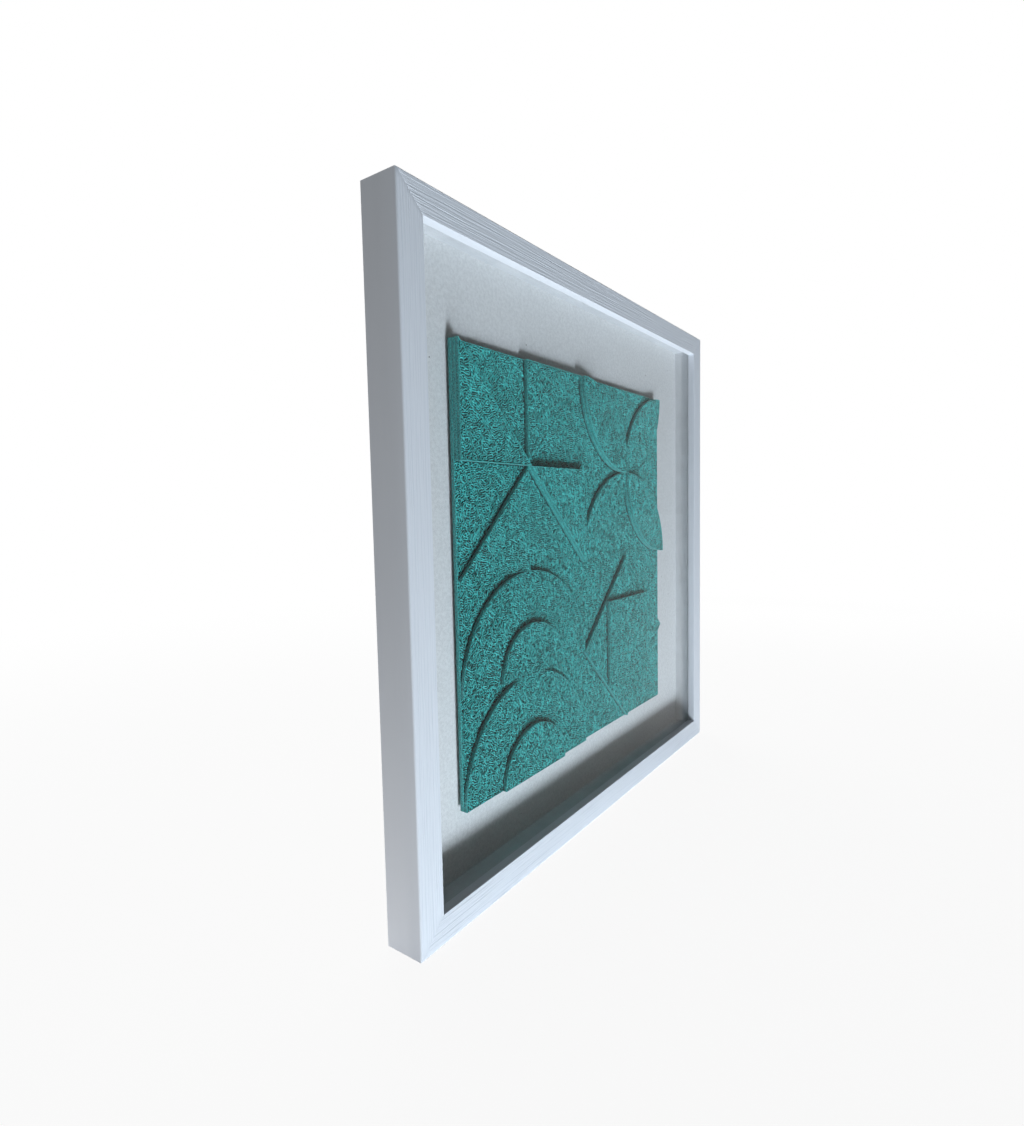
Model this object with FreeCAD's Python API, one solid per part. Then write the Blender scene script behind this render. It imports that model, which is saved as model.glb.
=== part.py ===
import FreeCAD, Part
import math
import os

# Framed paper relief in a shadow box
# X runs to the right, Y runs into the wall, Z runs up
# The origin is the middle of the bottom of the whole part's box

# Relief of stacked paper layers
cell = 92.25              # side of one cell of the pattern grid
grid_cells = 4            # cells along each side of the relief
layer_height = 3.7        # thickness of one paper layer
layer_count = 3           # layers at the highest places
motif_gap = 0.3           # joint between two motifs that lie side by side
float_gap = 3.0           # thickness of the hidden mount that floats the relief
float_inset = 25.0        # hidden mount stands back this far from the relief's edge

# Backing shown around the relief, spacer to relief
margin_left = 53.0
margin_right = 73.0
margin_top = 70.5
margin_bottom = 55.5

# Box behind the glass
air_gap = 5.2             # glass to the highest paper layer
spacer_thickness = 3.3
spacer_clearance = 0.2    # spacer to the rabbet wall
glass_thickness = 2.0
glass_clearance = 1.0     # glass edge to the rabbet wall
mount_board_thickness = 1.2
back_board_thickness = 2.0
board_clearance = 1.0     # board edge to the rabbet wall

# Rails of the frame
rail_wall = 14.0          # rail thickness beside the rabbet
lip_reveal = 5.5          # lip reaches in past the spacer's face
lip_thickness = 8.0
outer_round = 1.8         # outer front edge
inner_round = 0.7         # inner front edge

# Flat steel tabs that hold the back board
tab_length = 15.0
tab_width = 6.0
tab_thickness = 0.6
tab_bite = 7.0            # length of a tab inside the rail
tab_cover = 0.9           # wood left behind the tabs
tab_from_corner = 120.0   # rabbet corner to the middle of a tab

# Bent corner nails pressed in across each mitre
nail_leg = 5.0
nail_thickness = 0.8
nail_depth = 10.0
nail_half_angle = 40.0    # degrees between a leg and the mitre line
nail_from_corner = 7.0    # outer corner to the nail's point, along the mitre

# Sawtooth hanger on the back of the top rail
hanger_length = 44.0
hanger_height = 9.0
hanger_thickness = 0.8
hanger_bow = 1.5          # toothed middle stands off this far
hanger_ear = 7.0          # flat length at each end
hanger_ramp = 3.0         # length of the bend between ear and middle
tooth_pitch = 3.0
tooth_depth = 2.2

# Screws of the hanger
screw_radius = 1.0
screw_length = 9.0
screw_head_radius = 2.3
screw_head_height = 1.1
screw_slot_width = 0.6
screw_slot_depth = 0.5

# Rubber bumpers at the foot of the back
bumper_radius = 4.5
bumper_round = 1.0
bumper_stand_off = 0.2    # bumpers reach past the hanger by this much
bumper_from_side = 40.0

# Sizes that follow from the ones above
relief_size = cell * grid_cells
box_width = margin_left + relief_size + margin_right
box_height = margin_bottom + relief_size + margin_top
rabbet_width = box_width + 2 * (spacer_thickness + spacer_clearance)
rabbet_height = box_height + 2 * (spacer_thickness + spacer_clearance)
frame_width = rabbet_width + 2 * rail_wall
frame_height = rabbet_height + 2 * rail_wall
face_width = rail_wall + spacer_clearance + spacer_thickness + lip_reveal
box_depth = float_gap + layer_count * layer_height + air_gap
stack_depth = glass_thickness + box_depth + mount_board_thickness + back_board_thickness
frame_depth = lip_thickness + stack_depth + tab_thickness + tab_cover
bumper_height = hanger_thickness + max(hanger_bow, screw_head_height) + bumper_stand_off
total_depth = frame_depth + bumper_height

# Places along the depth
front_y = -total_depth / 2
glass_y = front_y + lip_thickness
spacer_y = glass_y + glass_thickness
mount_board_y = spacer_y + box_depth
back_board_y = mount_board_y + mount_board_thickness
tab_y = back_board_y + back_board_thickness
back_y = front_y + frame_depth
relief_y = mount_board_y - float_gap

# Lower left corner of the rabbet and of the relief
rabbet_x = -rabbet_width / 2
rabbet_z = rail_wall
relief_x = -box_width / 2 + margin_left
relief_z = rabbet_z + spacer_clearance + spacer_thickness + margin_bottom
centre_z = frame_height / 2

# Middle of the hanger and places of its screws
hanger_z = frame_height - rail_wall / 2
screw_x = (hanger_length - hanger_ear) / 2


def vec(x, y, z):
    return FreeCAD.Vector(x, y, z)


def prism_along_y(corners, y_start, depth):
    # Straight-sided prism from corners given as x, z
    points = [vec(x, y_start, z) for x, z in corners]
    wire = Part.makePolygon(points + points[:1])
    return Part.Face(wire).extrude(vec(0, depth, 0))


def plate(x, z, width, height, y, thickness):
    return Part.makeBox(width, thickness, height, vec(x, y, z))


# Frame rails
def rail_section(length):
    # Hooked section of a rail, with the outer side at z = 0, as a bar along X
    start = -length / 2
    turn = math.sqrt(0.5)
    outer_mid = outer_round * (1 - turn)
    inner_mid = inner_round * (1 - turn)
    lip_y = front_y + lip_thickness

    def at(y, z):
        return vec(start, y, z)

    edges = [
        Part.Arc(
            at(front_y + outer_round, 0),
            at(front_y + outer_mid, outer_mid),
            at(front_y, outer_round),
        ).toShape(),
        Part.makeLine(at(front_y, outer_round), at(front_y, face_width - inner_round)),
        Part.Arc(
            at(front_y, face_width - inner_round),
            at(front_y + inner_mid, face_width - inner_mid),
            at(front_y + inner_round, face_width),
        ).toShape(),
        Part.makeLine(at(front_y + inner_round, face_width), at(lip_y, face_width)),
        Part.makeLine(at(lip_y, face_width), at(lip_y, rail_wall)),
        Part.makeLine(at(lip_y, rail_wall), at(back_y, rail_wall)),
        Part.makeLine(at(back_y, rail_wall), at(back_y, 0)),
        Part.makeLine(at(back_y, 0), at(front_y + outer_round, 0)),
    ]
    return Part.Face(Part.Wire(edges)).extrude(vec(length, 0, 0))


def mitred_rail(length):
    half = length / 2
    mitre = prism_along_y(
        [(-half, 0), (half, 0), (half - face_width, face_width), (face_width - half, face_width)],
        front_y,
        frame_depth,
    )
    return rail_section(length).common(mitre)


def turned(shape, angle, side_x, side_z):
    # Turns a bottom rail about Y and moves it to its side of the frame
    moved = shape.copy()
    moved.rotate(vec(0, 0, 0), vec(0, 1, 0), angle)
    moved.translate(vec(side_x, 0, side_z))
    return moved


def make_rails():
    across = mitred_rail(frame_width)
    upright = mitred_rail(frame_height)
    return {
        "rail_bottom": turned(across, 0, 0, 0),
        "rail_top": turned(across, 180, 0, frame_height),
        "rail_left": turned(upright, 90, -frame_width / 2, centre_z),
        "rail_right": turned(upright, -90, frame_width / 2, centre_z),
    }


# Flat steel tabs
def make_tabs():
    half = tab_width / 2
    reach = tab_length - tab_bite
    left = rabbet_x
    right = rabbet_x + rabbet_width
    low = rabbet_z
    high = rabbet_z + rabbet_height
    tabs = []
    for x in (left + tab_from_corner, right - tab_from_corner):
        tabs.append(plate(x - half, low - tab_bite, tab_width, tab_length, tab_y, tab_thickness))
        tabs.append(plate(x - half, high - reach, tab_width, tab_length, tab_y, tab_thickness))
    for z in (low + tab_from_corner, high - tab_from_corner):
        tabs.append(plate(left - tab_bite, z - half, tab_length, tab_width, tab_y, tab_thickness))
        tabs.append(plate(right - reach, z - half, tab_length, tab_width, tab_y, tab_thickness))
    return Part.makeCompound(tabs)


# Corner nails
def corner_nail(corner_x, corner_z, inward_x, inward_z):
    # Two legs that open inward, one on each side of the mitre line
    angle = math.radians(nail_half_angle)
    point = nail_from_corner
    tip = point + nail_leg * math.cos(angle)
    spread = nail_leg * math.sin(angle)
    side = nail_thickness * math.cos(angle)
    back = nail_thickness * math.sin(angle)
    throat = point + nail_thickness / math.sin(angle)
    along_across = [
        (point, 0),
        (tip, spread),
        (tip + back, spread - side),
        (throat, 0),
        (tip + back, side - spread),
        (tip, -spread),
    ]
    diagonal = math.sqrt(0.5)
    corners = []
    for along, across in along_across:
        x = corner_x + inward_x * diagonal * (along + across)
        z = corner_z + inward_z * diagonal * (along - across)
        corners.append((x, z))
    return prism_along_y(corners, back_y - nail_depth, nail_depth)


def make_corner_nails():
    half = frame_width / 2
    return Part.makeCompound([
        corner_nail(-half, 0, 1, 1),
        corner_nail(half, 0, -1, 1),
        corner_nail(-half, frame_height, 1, -1),
        corner_nail(half, frame_height, -1, -1),
    ])


# Sawtooth hanger and its screws
def make_hanger():
    half = hanger_length / 2
    flat = half - hanger_ear
    raised = flat - hanger_ramp
    low_y = back_y
    high_y = back_y + hanger_bow
    rise = hanger_thickness
    sheet = [
        (-half, low_y),
        (-flat, low_y),
        (-raised, high_y),
        (raised, high_y),
        (flat, low_y),
        (half, low_y),
        (half, low_y + rise),
        (flat, low_y + rise),
        (raised, high_y + rise),
        (-raised, high_y + rise),
        (-flat, low_y + rise),
        (-half, low_y + rise),
    ]
    bottom = hanger_z - hanger_height / 2
    points = [vec(x, y, bottom) for x, y in sheet]
    wire = Part.makePolygon(points + points[:1])
    strip = Part.Face(wire).extrude(vec(0, 0, hanger_height))
    teeth = int(2 * raised / tooth_pitch)
    first = -(teeth - 1) * tooth_pitch / 2
    for step in range(teeth):
        x = first + step * tooth_pitch
        notch = prism_along_y(
            [(x - tooth_pitch / 2, bottom), (x + tooth_pitch / 2, bottom), (x, bottom + tooth_depth)],
            back_y,
            hanger_bow + 2 * hanger_thickness,
        )
        strip = strip.cut(notch)
    for x in (-screw_x, screw_x):
        strip = strip.cut(screw_shank(x))
    return strip


def screw_shank(x):
    head_y = back_y + hanger_thickness
    return Part.makeCylinder(screw_radius, screw_length, vec(x, head_y, hanger_z), vec(0, -1, 0))


def hanger_screw(x):
    head_y = back_y + hanger_thickness
    head = Part.makeCylinder(screw_head_radius, screw_head_height, vec(x, head_y, hanger_z), vec(0, 1, 0))
    slot = plate(
        x - screw_head_radius,
        hanger_z - screw_slot_width / 2,
        2 * screw_head_radius,
        screw_slot_width,
        head_y + screw_head_height - screw_slot_depth,
        screw_slot_depth,
    )
    return head.fuse(screw_shank(x)).cut(slot)


def make_hanger_screws():
    return Part.makeCompound([hanger_screw(-screw_x), hanger_screw(screw_x)])


# Rubber bumpers
def bumper(x):
    pad = Part.makeCylinder(bumper_radius, bumper_height, vec(x, back_y, rail_wall / 2), vec(0, 1, 0))
    rim = [edge for edge in pad.Edges if edge.BoundBox.YMin > back_y + bumper_height / 2]
    return pad.makeFillet(bumper_round, rim)


def make_bumpers():
    x = frame_width / 2 - bumper_from_side
    return Part.makeCompound([bumper(-x), bumper(x)])


# Glass, spacers and boards
def make_box_stack():
    glass_x = rabbet_x + glass_clearance
    glass_z = rabbet_z + glass_clearance
    glass_w = rabbet_width - 2 * glass_clearance
    glass_h = rabbet_height - 2 * glass_clearance
    board_x = rabbet_x + board_clearance
    board_z = rabbet_z + board_clearance
    board_w = rabbet_width - 2 * board_clearance
    board_h = rabbet_height - 2 * board_clearance
    left = rabbet_x + spacer_clearance
    right = -left - spacer_thickness
    low = rabbet_z + spacer_clearance
    inner_low = low + spacer_thickness
    inner_high = inner_low + box_height
    long_side = box_width + 2 * spacer_thickness
    return {
        "glass_pane": plate(glass_x, glass_z, glass_w, glass_h, glass_y, glass_thickness),
        "spacer_bottom": plate(left, low, long_side, spacer_thickness, spacer_y, box_depth),
        "spacer_top": plate(left, inner_high, long_side, spacer_thickness, spacer_y, box_depth),
        "spacer_left": plate(left, inner_low, spacer_thickness, box_height, spacer_y, box_depth),
        "spacer_right": plate(right, inner_low, spacer_thickness, box_height, spacer_y, box_depth),
        "mount_board": plate(board_x, board_z, board_w, board_h, mount_board_y, mount_board_thickness),
        "back_board": plate(board_x, board_z, board_w, board_h, back_board_y, back_board_thickness),
    }


# Paper relief, drawn in cells from its lower left corner
def spot(column, row, y):
    return vec(relief_x + column * cell, y, relief_z + row * cell)


def layer_top(level):
    return relief_y - level * layer_height


def paper_piece(start, path, level):
    # Path steps are end points, or a point on an arc with its end point
    y = layer_top(level - 1)
    edges = []
    here = spot(*start, y)
    for step in path:
        there = spot(*step[-1], y)
        if len(step) == 2:
            edges.append(Part.Arc(here, spot(*step[0], y), there).toShape())
        else:
            edges.append(Part.makeLine(here, there))
        here = there
    face = Part.Face(Part.Wire(edges)).makeOffset2D(-motif_gap / 2)
    return face.extrude(vec(0, -layer_height, 0))


def straight(corners, level):
    path = [(corner,) for corner in corners[1:] + corners[:1]]
    return paper_piece(corners[0], path, level)


def quarter_turned(point, centre, turns):
    # Turns a point clockwise about a block's centre, in steps of a quarter
    x = point[0] - centre[0]
    z = point[1] - centre[1]
    for _ in range(turns):
        x, z = z, -x
    return (centre[0] + x, centre[1] + z)


def pinwheel_blade(turns, level):
    # Half of a cell, cut along its diagonal
    centre = (1, 3)
    corners = [(0, 4), (0, 3), (1, 3)]
    return straight([quarter_turned(corner, centre, turns) for corner in corners], level)


def petal(turns, level):
    # Leaf between two quarter arcs, from the block's centre to its corner
    centre = (3, 3)
    near = 1 - math.sqrt(0.5)
    far = math.sqrt(0.5)
    tip = quarter_turned((2, 4), centre, turns)
    lower = quarter_turned((2 + near, 3 + near), centre, turns)
    upper = quarter_turned((2 + far, 3 + far), centre, turns)
    return paper_piece(centre, [(lower, tip), (upper, centre)], level)


def half_round(base_row, radius, level):
    # Half disc that stands on its flat side
    left = (1 - radius, base_row)
    right = (1 + radius, base_row)
    top = (1, base_row + radius)
    return paper_piece(left, [(right,), (top, left)], level)


def make_relief():
    pieces = {}
    inset = float_inset
    pieces["relief_float_mount"] = plate(
        relief_x + inset,
        relief_z + inset,
        relief_size - 2 * inset,
        relief_size - 2 * inset,
        relief_y,
        float_gap,
    )
    side = grid_cells
    pieces["relief_base"] = straight([(0, 0), (side, 0), (side, side), (0, side)], 1)
    for turns in range(4):
        number = turns + 1
        pieces[f"pinwheel_blade_{number}"] = pinwheel_blade(turns, 2)
        pieces[f"petal_{number}"] = petal(turns, 2)
    for turns in (0, 2):
        number = turns + 1
        pieces[f"pinwheel_cap_{number}"] = pinwheel_blade(turns, 3)
        pieces[f"petal_cap_{number}"] = petal(turns, 3)
    for base_row, name in ((1, "upper"), (0, "lower")):
        pieces[f"half_round_{name}"] = half_round(base_row, 1.0, 2)
        pieces[f"half_round_cap_{name}"] = half_round(base_row, 0.5, 3)
    pieces["diamond"] = straight([(3, 0), (4, 1), (3, 2), (2, 1)], 2)
    pieces["diamond_cap"] = straight([(2.5, 0.5), (3.5, 0.5), (3.5, 1.5), (2.5, 1.5)], 3)
    return pieces


# Putting the pieces together
def make_pieces():
    pieces = make_rails()
    fixings = {
        "back_board_tabs": make_tabs(),
        "corner_nails": make_corner_nails(),
        "hanger_screws": make_hanger_screws(),
    }
    for name in list(pieces):
        for fixing in fixings.values():
            pieces[name] = pieces[name].cut(fixing)
    pieces.update(fixings)
    pieces["sawtooth_hanger"] = make_hanger()
    pieces["wall_bumpers"] = make_bumpers()
    pieces.update(make_box_stack())
    pieces.update(make_relief())
    return pieces


os.makedirs("parts", exist_ok=True)
for name, shape in make_pieces().items():
    shape.exportStep(f"parts/{name}.step")
    box = shape.BoundBox
    size = f"{box.XLength:.1f} x {box.YLength:.1f} x {box.ZLength:.1f} mm"
    print(f"{name}: {len(shape.Solids)} solids, {size}")
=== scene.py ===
import math

import bpy
import numpy as np
from mathutils import Matrix, Vector


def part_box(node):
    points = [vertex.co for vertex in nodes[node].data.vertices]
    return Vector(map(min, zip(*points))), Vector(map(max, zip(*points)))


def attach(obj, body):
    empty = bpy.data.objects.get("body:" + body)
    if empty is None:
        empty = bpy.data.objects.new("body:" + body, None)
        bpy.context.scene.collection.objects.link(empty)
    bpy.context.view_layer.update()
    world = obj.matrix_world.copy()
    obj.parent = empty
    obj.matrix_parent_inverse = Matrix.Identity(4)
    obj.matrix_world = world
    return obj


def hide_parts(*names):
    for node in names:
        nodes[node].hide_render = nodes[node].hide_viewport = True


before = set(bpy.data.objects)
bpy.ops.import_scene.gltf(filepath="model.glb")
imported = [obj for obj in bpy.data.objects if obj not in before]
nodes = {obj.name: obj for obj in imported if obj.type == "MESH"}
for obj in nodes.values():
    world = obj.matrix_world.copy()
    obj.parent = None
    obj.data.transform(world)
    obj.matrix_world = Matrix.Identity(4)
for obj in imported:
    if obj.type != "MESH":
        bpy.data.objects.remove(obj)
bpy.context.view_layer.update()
mm = 0.001

# Camera and framing
photoView = {
    "imageWidth": 1024,
    "imageHeight": 1126,
    "focalPixels": 634.3,
    "centrePixelX": 546.6,
    "centrePixelY": 554.1,
    "placeMm": (-557.9, -309.2, 48.4),   # from the middle of the frame's front face
    "pitch": -4.24,
    "roll": 0.96,
    "yaw": -55.74,
    "sensorWidth": 36,
}


def makeCamera(view):
    camData = bpy.data.cameras.new("photoCamera")
    cam = bpy.data.objects.new("photoCamera", camData)
    bpy.context.scene.collection.objects.link(cam)
    longSide = max(view["imageWidth"], view["imageHeight"])
    camData.sensor_width = view["sensorWidth"]
    camData.lens = view["focalPixels"] / longSide * view["sensorWidth"]
    camData.shift_x = (view["imageWidth"] / 2 - view["centrePixelX"]) / longSide
    camData.shift_y = (view["centrePixelY"] - view["imageHeight"] / 2) / longSide
    turn = (
        Matrix.Rotation(math.radians(view["yaw"]), 3, "Z")
        @ Matrix.Rotation(math.radians(view["pitch"]), 3, "X")
        @ Matrix.Rotation(math.radians(view["roll"]), 3, "Y")
    )
    right, forward, up = turn.col
    look = Matrix((right, up, -forward)).transposed()
    low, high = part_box("rail_left")
    frontMiddle = Vector((0, low.y, (low.z + high.z) / 2))
    place = frontMiddle + Vector(view["placeMm"]) * mm
    cam.matrix_world = Matrix.Translation(place) @ look.to_4x4()
    bpy.context.scene.camera = cam


makeCamera(photoView)
print("camera in place")


# Shader helpers
def newMaterial(name):
    mat = bpy.data.materials.new(name)
    mat.use_nodes = True
    return mat


def principled(mat):
    return mat.node_tree.nodes["Principled BSDF"]


def addNode(tree, kind, settings=None, values=None):
    node = tree.nodes.new(kind)
    for key, value in (settings or {}).items():
        setattr(node, key, value)
    for key, value in (values or {}).items():
        node.inputs[key].default_value = value
    return node


def join(tree, source, output, target, entry):
    tree.links.new(source.outputs[output], target.inputs[entry])


def addMath(tree, operation, *terms, **settings):
    # Each term is a number or the output that gives it
    node = addNode(tree, "ShaderNodeMath", {"operation": operation, **settings})
    for entry, term in zip(node.inputs, terms):
        if isinstance(term, float):
            entry.default_value = term
        else:
            tree.links.new(term, entry)
    return node.outputs["Value"]


def mapRange(tree, value, source, target=(0.0, 1.0), curve="LINEAR"):
    node = addNode(tree, "ShaderNodeMapRange", {"interpolation_type": curve}, {
        "From Min": source[0], "From Max": source[1], "To Min": target[0], "To Max": target[1]})
    tree.links.new(value, node.inputs["Value"])
    return node.outputs["Result"]


def mixColors(tree, share, first, second):
    # Each colour is fixed or the output that gives it
    mix = addNode(tree, "ShaderNodeMix", {"data_type": "RGBA"})
    tree.links.new(share, mix.inputs["Factor"])
    for entry, color in ((mix.inputs[6], first), (mix.inputs[7], second)):
        if isinstance(color, tuple):
            entry.default_value = color
        else:
            tree.links.new(color, entry)
    return mix.outputs[2]


def mixShaders(tree, share, first, second, target):
    mix = addNode(tree, "ShaderNodeMixShader")
    for entry, output in enumerate((share, first, second)):
        tree.links.new(output, mix.inputs[entry])
    join(tree, mix, "Shader", tree.nodes[target], "Surface")


def newGroup(name, entries, exits):
    group = bpy.data.node_groups.new(name, "ShaderNodeTree")
    for label, kind, value in entries:
        socket = group.interface.new_socket(label, in_out="INPUT", socket_type=kind)
        socket.default_value = value
    for label, kind in exits:
        group.interface.new_socket(label, in_out="OUTPUT", socket_type=kind)
    return group, addNode(group, "NodeGroupInput"), addNode(group, "NodeGroupOutput")


def useGroup(mat, group, values):
    return addNode(mat.node_tree, "ShaderNodeGroup", {"node_tree": group}, values)


def setColor(mat, output):
    mat.node_tree.links.new(output, principled(mat).inputs["Base Color"])


def setFixed(mat, values):
    for label, value in values.items():
        principled(mat).inputs[label].default_value = value


def addBump(mat, source, finish):
    tree = mat.node_tree
    bump = addNode(tree, "ShaderNodeBump", None, {
        "Strength": finish["bump"], "Distance": finish["bumpMm"] * mm})
    join(tree, source, "Height", bump, "Height")
    join(tree, bump, "Normal", principled(mat), "Normal")


# Fine fibres over soft clouds of tone, used by the boards, the teal paper and the rubber
fibreNoise = {
    "fibre": {"Detail": 5.0, "Roughness": 0.62, "Distortion": 1.4},
    "cloud": {"Detail": 3.0, "Roughness": 0.55},
    "fibreShare": 0.6,
    "deepRange": (0.62, 0.98),     # sum of both noises over which the deep tone comes in
}


def makeFibreGroup():
    group, entry, leave = newGroup(
        "Paper Fibre",
        [
            ("Base", "NodeSocketColor", (0.7, 0.7, 0.7, 1)),
            ("Deep", "NodeSocketColor", (0.5, 0.5, 0.5, 1)),
            ("Fibre Scale", "NodeSocketFloat", 900.0),
            ("Cloud Scale", "NodeSocketFloat", 14.0),
            ("Contrast", "NodeSocketFloat", 0.5),
        ],
        [("Color", "NodeSocketColor"), ("Height", "NodeSocketFloat")],
    )
    place = addNode(group, "ShaderNodeTexCoord")
    fibre = addNode(group, "ShaderNodeTexNoise", None, fibreNoise["fibre"])
    cloud = addNode(group, "ShaderNodeTexNoise", None, fibreNoise["cloud"])
    for noise, scale in ((fibre, "Fibre Scale"), (cloud, "Cloud Scale")):
        join(group, place, "Object", noise, "Vector")
        join(group, entry, scale, noise, "Scale")
    share = fibreNoise["fibreShare"]
    both = addMath(group, "MULTIPLY_ADD", fibre.outputs["Fac"], share, cloud.outputs["Fac"])
    spread = mapRange(group, both, fibreNoise["deepRange"])
    amount = addMath(group, "MULTIPLY", spread, entry.outputs["Contrast"])
    color = mixColors(group, amount, entry.outputs["Base"], entry.outputs["Deep"])
    group.links.new(color, leave.inputs["Color"])
    join(group, fibre, "Fac", leave, "Height")
    return group


# Small dark flecks and dust, used by the boards
def makeFleckGroup():
    group, entry, leave = newGroup(
        "Dust Flecks",
        [
            ("Fleck Scale", "NodeSocketFloat", 30.0),
            ("Fleck Size", "NodeSocketFloat", 0.05),
            ("Share", "NodeSocketFloat", 0.2),
        ],
        [("Mask", "NodeSocketFloat")],
    )
    place = addNode(group, "ShaderNodeTexCoord")
    cells = addNode(group, "ShaderNodeTexVoronoi", None, {"Randomness": 1.0})
    join(group, place, "Object", cells, "Vector")
    join(group, entry, "Fleck Scale", cells, "Scale")
    parts = addNode(group, "ShaderNodeSeparateColor")
    join(group, cells, "Color", parts, "Color")
    near = addMath(group, "LESS_THAN", cells.outputs["Distance"], entry.outputs["Fleck Size"])
    chosen = addMath(group, "LESS_THAN", parts.outputs["Red"], entry.outputs["Share"])
    group.links.new(addMath(group, "MULTIPLY", near, chosen), leave.inputs["Mask"])
    return group


# Lines drawn out along one direction, used by the combed paint and by the metal
drawnNoise = {
    "fine": {"Detail": 4.0, "Roughness": 0.6},
    "broad": {"Detail": 2.0, "Roughness": 0.5},
    "broadScale": 0.3,             # of the fine lines' scale
}


def makeDrawnLinesGroup():
    group, entry, leave = newGroup(
        "Drawn Lines",
        [("Stretch", "NodeSocketVector", (1.0, 1.0, 1.0)), ("Line Scale", "NodeSocketFloat", 900.0)],
        [("Height", "NodeSocketFloat"), ("Streak", "NodeSocketFloat")],
    )
    place = addNode(group, "ShaderNodeTexCoord")
    pull = addNode(group, "ShaderNodeVectorMath", {"operation": "MULTIPLY"})
    join(group, place, "Object", pull, 0)
    join(group, entry, "Stretch", pull, 1)
    fineScale = entry.outputs["Line Scale"]
    broadScale = addMath(group, "MULTIPLY", fineScale, drawnNoise["broadScale"])
    for name, scale, result in (("fine", fineScale, "Height"), ("broad", broadScale, "Streak")):
        noise = addNode(group, "ShaderNodeTexNoise", None, drawnNoise[name])
        join(group, pull, "Vector", noise, "Vector")
        group.links.new(scale, noise.inputs["Scale"])
        join(group, noise, "Fac", leave, result)
    return group


fibreGroup = makeFibreGroup()
fleckGroup = makeFleckGroup()
linesGroup = makeDrawnLinesGroup()
print("shader groups built")


# Materials
def linear(red, green, blue):
    def one(value):
        value = value / 255
        return value / 12.92 if value <= 0.04045 else ((value + 0.055) / 1.055) ** 2.4
    return (one(red), one(green), one(blue), 1.0)


def addFibre(mat, finish):
    # Fibres over the whole surface, with the finish's own roughness and relief
    fibre = useGroup(mat, fibreGroup, {
        "Base": finish["base"], "Deep": finish["deep"], "Fibre Scale": finish["fibre"],
        "Cloud Scale": finish["cloud"], "Contrast": finish["contrast"],
    })
    setFixed(mat, {"Roughness": finish["rough"]})
    addBump(mat, fibre, finish)
    return fibre.outputs["Color"]


boardFinishes = {
    "mountBoard": {
        "base": linear(231, 233, 233), "deep": linear(214, 216, 216),
        "fibre": 1300.0, "cloud": 380.0, "contrast": 0.9, "rough": 0.92, "bump": 0.8, "bumpMm": 0.2,
        "fleck": {"Fleck Scale": 90.0, "Fleck Size": 0.05, "Share": 0.14},
        "fleckColor": linear(88, 86, 80),
    },
    "spacerBoard": {
        "base": linear(214, 216, 218), "deep": linear(199, 201, 203),
        "fibre": 1100.0, "cloud": 60.0, "contrast": 0.6, "rough": 0.85, "bump": 0.25, "bumpMm": 0.08,
        "fleck": {"Fleck Scale": 90.0, "Fleck Size": 0.04, "Share": 0.1},
        "fleckColor": linear(120, 118, 112),
    },
    "foamBoard": {
        "base": linear(225, 224, 219), "deep": linear(205, 204, 198),
        "fibre": 1000.0, "cloud": 20.0, "contrast": 0.5, "rough": 0.9, "bump": 0.3, "bumpMm": 0.1,
        "fleck": {"Fleck Scale": 40.0, "Fleck Size": 0.03, "Share": 0.2},
        "fleckColor": linear(150, 146, 140),
    },
    "hardboard": {
        "base": linear(126, 91, 59), "deep": linear(98, 69, 44),
        "fibre": 520.0, "cloud": 95.0, "contrast": 0.8, "rough": 0.62, "bump": 0.35, "bumpMm": 0.12,
        "fleck": {"Fleck Scale": 260.0, "Fleck Size": 0.16, "Share": 0.35},
        "fleckColor": linear(58, 40, 25),
    },
}


def makeBoardMaterial(name, finish):
    mat = newMaterial(name)
    color = addFibre(mat, finish)
    fleck = useGroup(mat, fleckGroup, finish["fleck"])
    setColor(mat, mixColors(mat.node_tree, fleck.outputs["Mask"], color, finish["fleckColor"]))
    return mat


boardMaterials = {name: makeBoardMaterial(name, finish) for name, finish in boardFinishes.items()}

combedPaint = {
    # The second tone is painted shade, laid darker into the comb's grooves
    "base": linear(229, 233, 238), "paintedGrooveShade": linear(203, 209, 216), "rough": 0.42, "coat": 0.08,
    "grooveShadeRange": (0.3, 0.9), "grooveShadeShare": (0.0, 0.5),      # comb's depth, and the share of painted groove shade it brings
    "streakRange": (0.45, 0.75), "streakShare": (0.0, 0.08),
    "lineScale": 950.0, "bump": 0.35, "bumpMm": 0.12,
    "stretch": {"across": (0.03, 0.35, 1.0), "upright": (1.0, 0.35, 0.03)},
}


def makeRailMaterial(run):
    mat = newMaterial("combedPaint" + run.title())
    tree = mat.node_tree
    lines = useGroup(mat, linesGroup, {
        "Stretch": combedPaint["stretch"][run], "Line Scale": combedPaint["lineScale"]})
    # Painted shade: the paint darkens where the comb and the mitre joints cut deeper, with random streaks on
    # top
    comb = addNode(tree, "ShaderNodeAttribute", {"attribute_name": "combDepth"})
    paintedGrooveShade = mapRange(tree, comb.outputs["Fac"], combedPaint["grooveShadeRange"], combedPaint["grooveShadeShare"])
    streak = mapRange(tree, lines.outputs["Streak"], combedPaint["streakRange"], combedPaint["streakShare"])
    grooveShadeAndStreak = addMath(tree, "ADD", paintedGrooveShade, streak, use_clamp=True)
    setColor(mat, mixColors(tree, grooveShadeAndStreak, combedPaint["base"], combedPaint["paintedGrooveShade"]))
    setFixed(mat, {"Roughness": combedPaint["rough"], "Coat Weight": combedPaint["coat"]})
    addBump(mat, lines, combedPaint)
    return mat


railMaterials = {run: makeRailMaterial(run) for run in combedPaint["stretch"]}

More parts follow.
